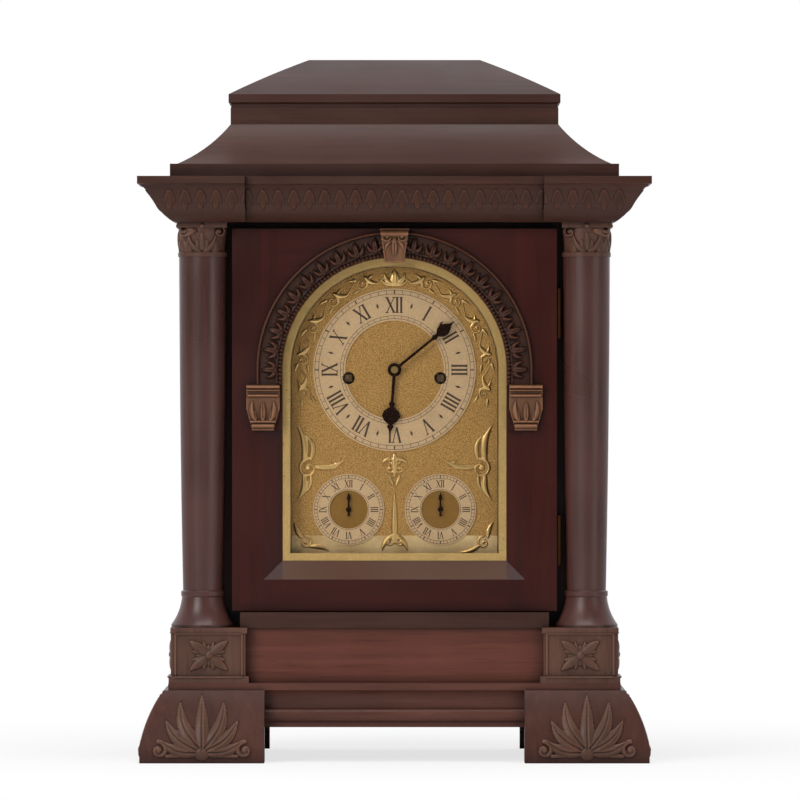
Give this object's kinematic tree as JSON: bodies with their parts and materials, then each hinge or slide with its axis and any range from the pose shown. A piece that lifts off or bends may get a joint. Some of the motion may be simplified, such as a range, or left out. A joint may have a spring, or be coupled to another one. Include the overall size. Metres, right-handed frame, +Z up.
{
  "type": "bracket clock",
  "caption": "Carved wooden bracket clock with corner columns, arched brass dial, hinged front and back doors, and a striking pendulum movement inside.",
  "frame": {"origin": "middle of the footprint, on the surface that the feet stand on", "axes": "+X to the right of the dial, +Y to the back, +Z up; the dial faces -Y"},
  "size_m": [0.371, 0.26, 0.5125],
  "materials": {
    "carved_oak": "dark stained oak, wax polished, carved",
    "case_oak": "dark stained oak, wax polished",
    "inner_wood": "plain oak, unpolished",
    "dial_brass": "matted and lacquered brass",
    "gilt_brass": "cast brass, gilt",
    "silvered_ring": "silvered brass with filled engraving",
    "brass": "polished brass",
    "bell_metal": "turned bell metal",
    "steel": "bright steel",
    "blued_steel": "blued steel, almost black",
    "glass": "clear plate glass"
  },
  "bodies": {
    "case": {"feet": "carved_oak", "base_moulding": "carved_oak", "base_box": "case_oak", "front_pedestals": "carved_oak", "floor_board": "case_oak", "left_side_panel": "case_oak", "left_side_glass": "glass", "right_side_panel": "case_oak", "right_side_glass": "glass", "front_frame": "case_oak", "back_frame": "case_oak", "top_board": "inner_wood", "left_column": "carved_oak", "right_column": "carved_oak", "column_capitals": "carved_oak", "cornice": "carved_oak", "roof_cove": "carved_oak", "roof_cap": "carved_oak", "case_hinge_halves": "brass", "dial_plate": "dial_brass", "hour_ring": "silvered_ring", "small_dial_rings": "silvered_ring", "dial_ornaments": "gilt_brass", "bell": "bell_metal", "bell_stand": "steel", "front_plate": "brass", "back_plate": "brass", "pillars_and_clicks": "brass", "back_cock": "brass", "seat_board": "inner_wood"},
    "front_door": {"front_door_frame": "case_oak", "door_arch_band": "carved_oak", "door_carvings": "carved_oak", "front_door_glass": "glass", "door_bead": "brass", "front_door_hinge_halves": "brass"},
    "back_door": {"back_door_frame": "case_oak", "back_door_glass": "glass", "back_door_hinge_halves": "brass"},
    "back_door_catch": {"back_door_catch": "brass"},
    "minute_arbor": {"centre_wheel": "brass", "minute_hand": "blued_steel"},
    "hour_pipe": {"hour_wheel": "brass", "hour_hand": "blued_steel"},
    "minute_wheel": {"minute_wheel": "brass"},
    "second_wheel": {"second_wheel": "brass"},
    "third_wheel": {"third_wheel": "brass"},
    "escape_wheel": {"escape_wheel": "brass"},
    "going_barrel": {"going_barrel": "brass"},
    "strike_barrel": {"strike_barrel": "brass"},
    "going_winding_arbor": {"going_winding_arbor": "steel"},
    "strike_winding_arbor": {"strike_winding_arbor": "steel"},
    "pin_wheel": {"pin_wheel": "brass"},
    "warning_wheel": {"warning_wheel": "brass"},
    "fly": {"fly": "brass"},
    "bell_hammer": {"bell_hammer": "steel"},
    "anchor": {"anchor": "steel"},
    "pendulum": {"pendulum": "brass"},
    "strike_pointer": {"strike_pointer": "blued_steel"},
    "regulation_pointer": {"regulation_pointer": "blued_steel"}
  },
  "joints": [
    {"name": "front_door_swing", "type": "hinge", "parent": "case", "child": "front_door", "pos_m": [0.1199, -0.084, 0.25], "axis": [0, 0, 1], "range_deg": [0, 95]},
    {"name": "back_door_swing", "type": "hinge", "parent": "case", "child": "back_door", "pos_m": [-0.11175, 0.1155, 0.25], "axis": [0, 0, 1], "range_deg": [0, 110]},
    {"name": "catch_turn", "type": "hinge", "parent": "back_door", "child": "back_door_catch", "pos_m": [0.0995, 0.114, 0.25], "axis": [0, 1, 0], "range_deg": [0, 90]},
    {"name": "minute_hand_turn", "type": "hinge", "parent": "case", "child": "minute_arbor", "pos_m": [0, 0, 0.284], "axis": [0, 1, 0], "continuous": true},
    {"name": "hour_hand_turn", "type": "hinge", "parent": "case", "child": "hour_pipe", "pos_m": [0, 0, 0.284], "axis": [0, 1, 0], "continuous": true},
    {"name": "minute_wheel_turn", "type": "hinge", "parent": "case", "child": "minute_wheel", "pos_m": [0, 0, 0.299], "axis": [0, 1, 0], "continuous": true},
    {"name": "second_wheel_turn", "type": "hinge", "parent": "case", "child": "second_wheel", "pos_m": [0.00359, 0, 0.2627], "axis": [0, 1, 0], "continuous": true},
    {"name": "third_wheel_turn", "type": "hinge", "parent": "case", "child": "third_wheel", "pos_m": [0.00666, 0, 0.30371], "axis": [0, 1, 0], "continuous": true},
    {"name": "escape_wheel_turn", "type": "hinge", "parent": "case", "child": "escape_wheel", "pos_m": [0, 0, 0.32], "axis": [0, 1, 0], "continuous": true},
    {"name": "going_barrel_turn", "type": "hinge", "parent": "case", "child": "going_barrel", "pos_m": [0.0335, 0, 0.278], "axis": [0, 1, 0], "continuous": true},
    {"name": "pin_wheel_turn", "type": "hinge", "parent": "case", "child": "pin_wheel", "pos_m": [-0.03584, 0, 0.31152], "axis": [0, 1, 0], "continuous": true},
    {"name": "strike_barrel_turn", "type": "hinge", "parent": "case", "child": "strike_barrel", "pos_m": [-0.0335, 0, 0.278], "axis": [0, 1, 0], "continuous": true},
    {"name": "warning_wheel_turn", "type": "hinge", "parent": "case", "child": "warning_wheel", "pos_m": [-0.04183, 0, 0.32796], "axis": [0, 1, 0], "continuous": true},
    {"name": "fly_turn", "type": "hinge", "parent": "case", "child": "fly", "pos_m": [-0.02867, 0, 0.33275], "axis": [0, 1, 0], "continuous": true},
    {"name": "going_winding", "type": "hinge", "parent": "case", "child": "going_winding_arbor", "pos_m": [0.0335, 0, 0.278], "axis": [0, 1, 0], "range_deg": [0, 2520]},
    {"name": "strike_winding", "type": "hinge", "parent": "case", "child": "strike_winding_arbor", "pos_m": [-0.0335, 0, 0.278], "axis": [0, 1, 0], "range_deg": [0, 2520]},
    {"name": "hammer_swing", "type": "hinge", "parent": "case", "child": "bell_hammer", "pos_m": [-0.059, 0, 0.322], "axis": [0, 1, 0], "range_deg": [-14, 0]},
    {"name": "pendulum_swing", "type": "hinge", "parent": "case", "child": "pendulum", "pos_m": [0, 0.025, 0.3377], "axis": [0, 1, 0], "range_deg": [-3.5, 3.5]},
    {"name": "anchor_swing", "type": "hinge", "parent": "case", "child": "anchor", "pos_m": [0, 0, 0.3377], "axis": [0, 1, 0], "range_deg": [-3.5, 3.5]},
    {"name": "strike_pointer_turn", "type": "hinge", "parent": "case", "child": "strike_pointer", "pos_m": [-0.0335, -0.054, 0.182], "axis": [0, 1, 0], "range_deg": [-60, 60]},
    {"name": "regulation_pointer_turn", "type": "hinge", "parent": "case", "child": "regulation_pointer", "pos_m": [0.0335, -0.054, 0.182], "axis": [0, 1, 0], "range_deg": [-150, 150]}
  ],
  "couplings": [
    {"joint": "hour_hand_turn", "follows": "minute_hand_turn", "ratio": 0.083333},
    {"joint": "minute_wheel_turn", "follows": "minute_hand_turn", "ratio": -0.33333},
    {"joint": "second_wheel_turn", "follows": "minute_hand_turn", "ratio": -0.2},
    {"joint": "going_barrel_turn", "follows": "minute_hand_turn", "ratio": 0.033333},
    {"joint": "third_wheel_turn", "follows": "minute_hand_turn", "ratio": -12},
    {"joint": "escape_wheel_turn", "follows": "minute_hand_turn", "ratio": 120},
    {"joint": "strike_barrel_turn", "follows": "pin_wheel_turn", "ratio": -0.16667},
    {"joint": "warning_wheel_turn", "follows": "pin_wheel_turn", "ratio": -6},
    {"joint": "fly_turn", "follows": "pin_wheel_turn", "ratio": 36},
    {"joint": "anchor_swing", "follows": "pendulum_swing", "ratio": 1}
  ]
}
